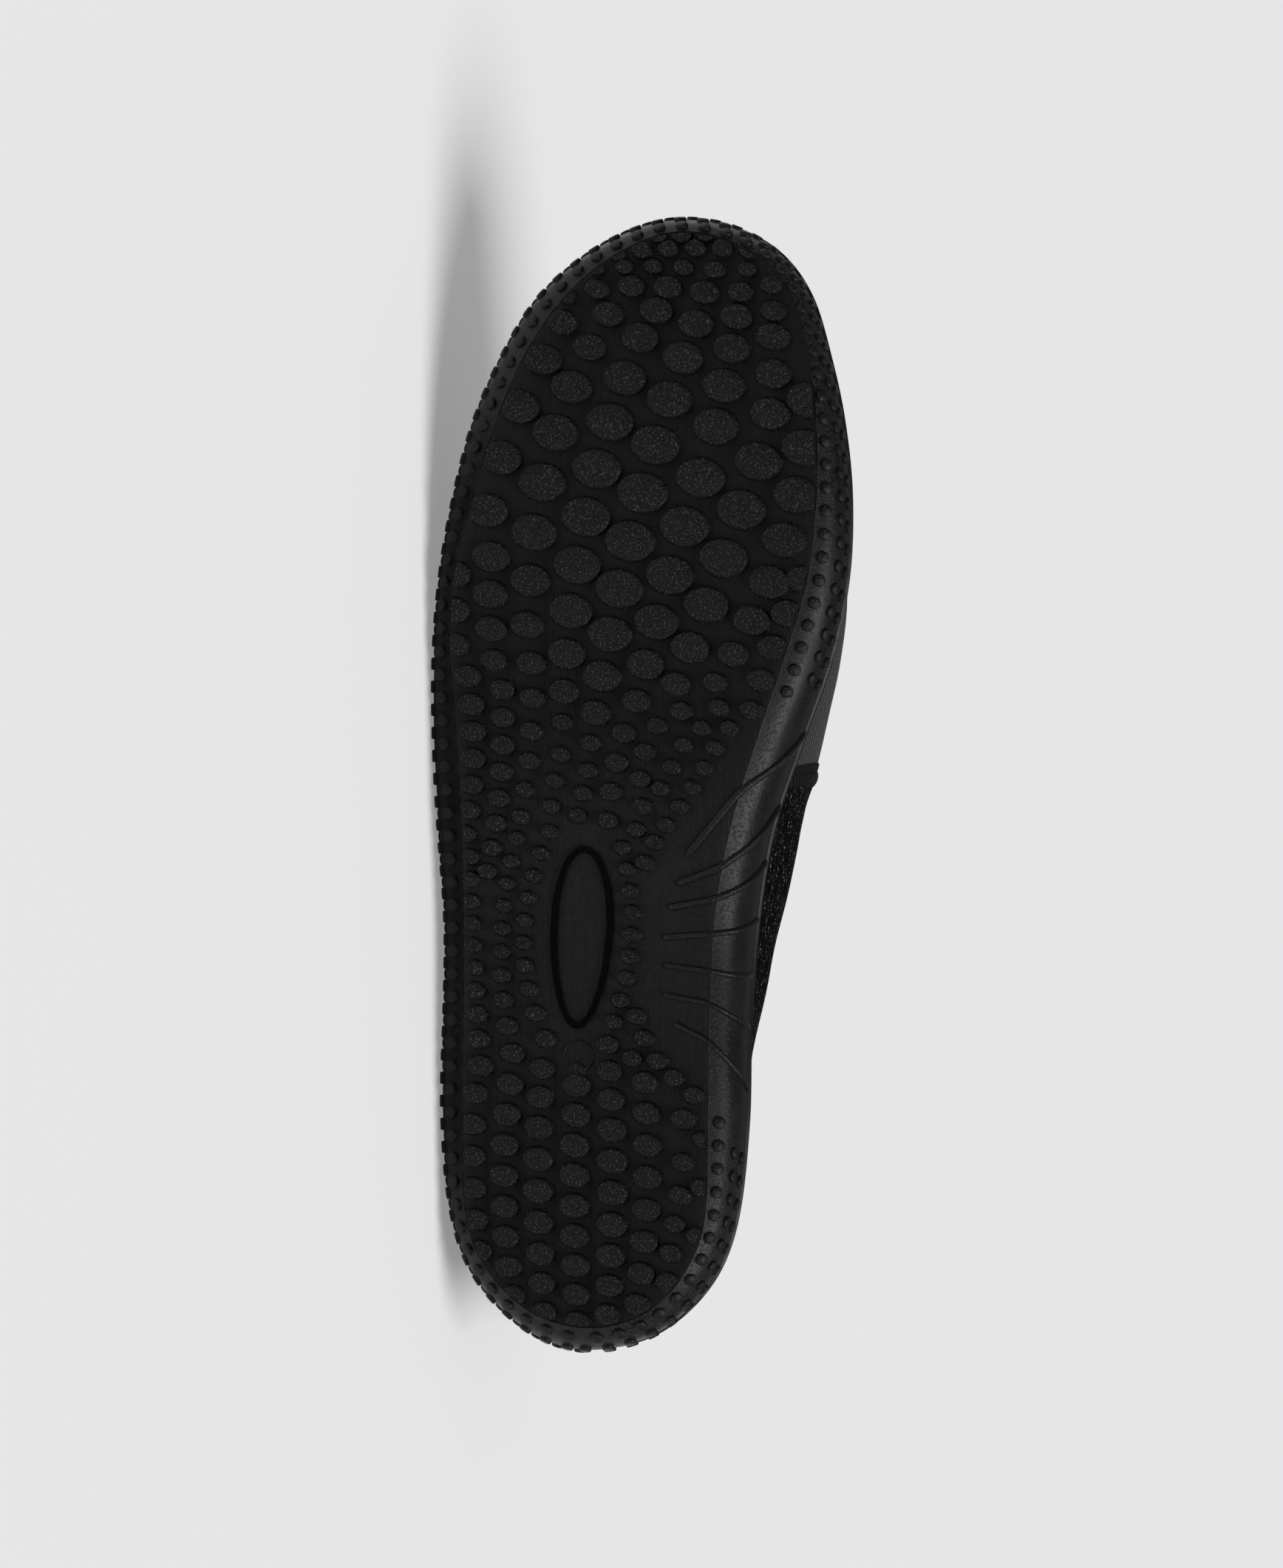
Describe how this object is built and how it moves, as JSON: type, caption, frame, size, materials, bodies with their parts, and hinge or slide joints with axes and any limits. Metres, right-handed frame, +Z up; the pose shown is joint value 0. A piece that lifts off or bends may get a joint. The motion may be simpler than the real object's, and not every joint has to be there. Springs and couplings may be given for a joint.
{
  "type": "water shoe",
  "caption": "Slip-on water shoe for the right foot, lying on its outer side: wrapped rubber cup sole with oval studs, ribbed inner arch and a hollow cloth and mesh upper with an open collar",
  "frame": {"origin": "centre of the underside of the bounding box, on the surface that the shoe lies on", "axes": "the shoe lies on its outer side: +X runs from toe to heel, +Y from the sole to the collar, +Z up through the inner side of the foot"},
  "size_m": [0.2792, 0.0854, 0.1028],
  "materials": {
    "sole_rubber": "black moulded rubber, satin, with a leathery grain on the studs",
    "insole_foam": "black cloth-faced foam, matt",
    "upper_cloth": "dark grey fine twill over the toes, black open mesh over the quarters",
    "binding_tape": "black woven tape, stitched"
  },
  "bodies": {
    "root": {"outsole": "sole_rubber", "insole": "insole_foam", "upper": "upper_cloth", "seam_tape": "binding_tape", "collar_binding": "binding_tape"}
  },
  "joints": []
}
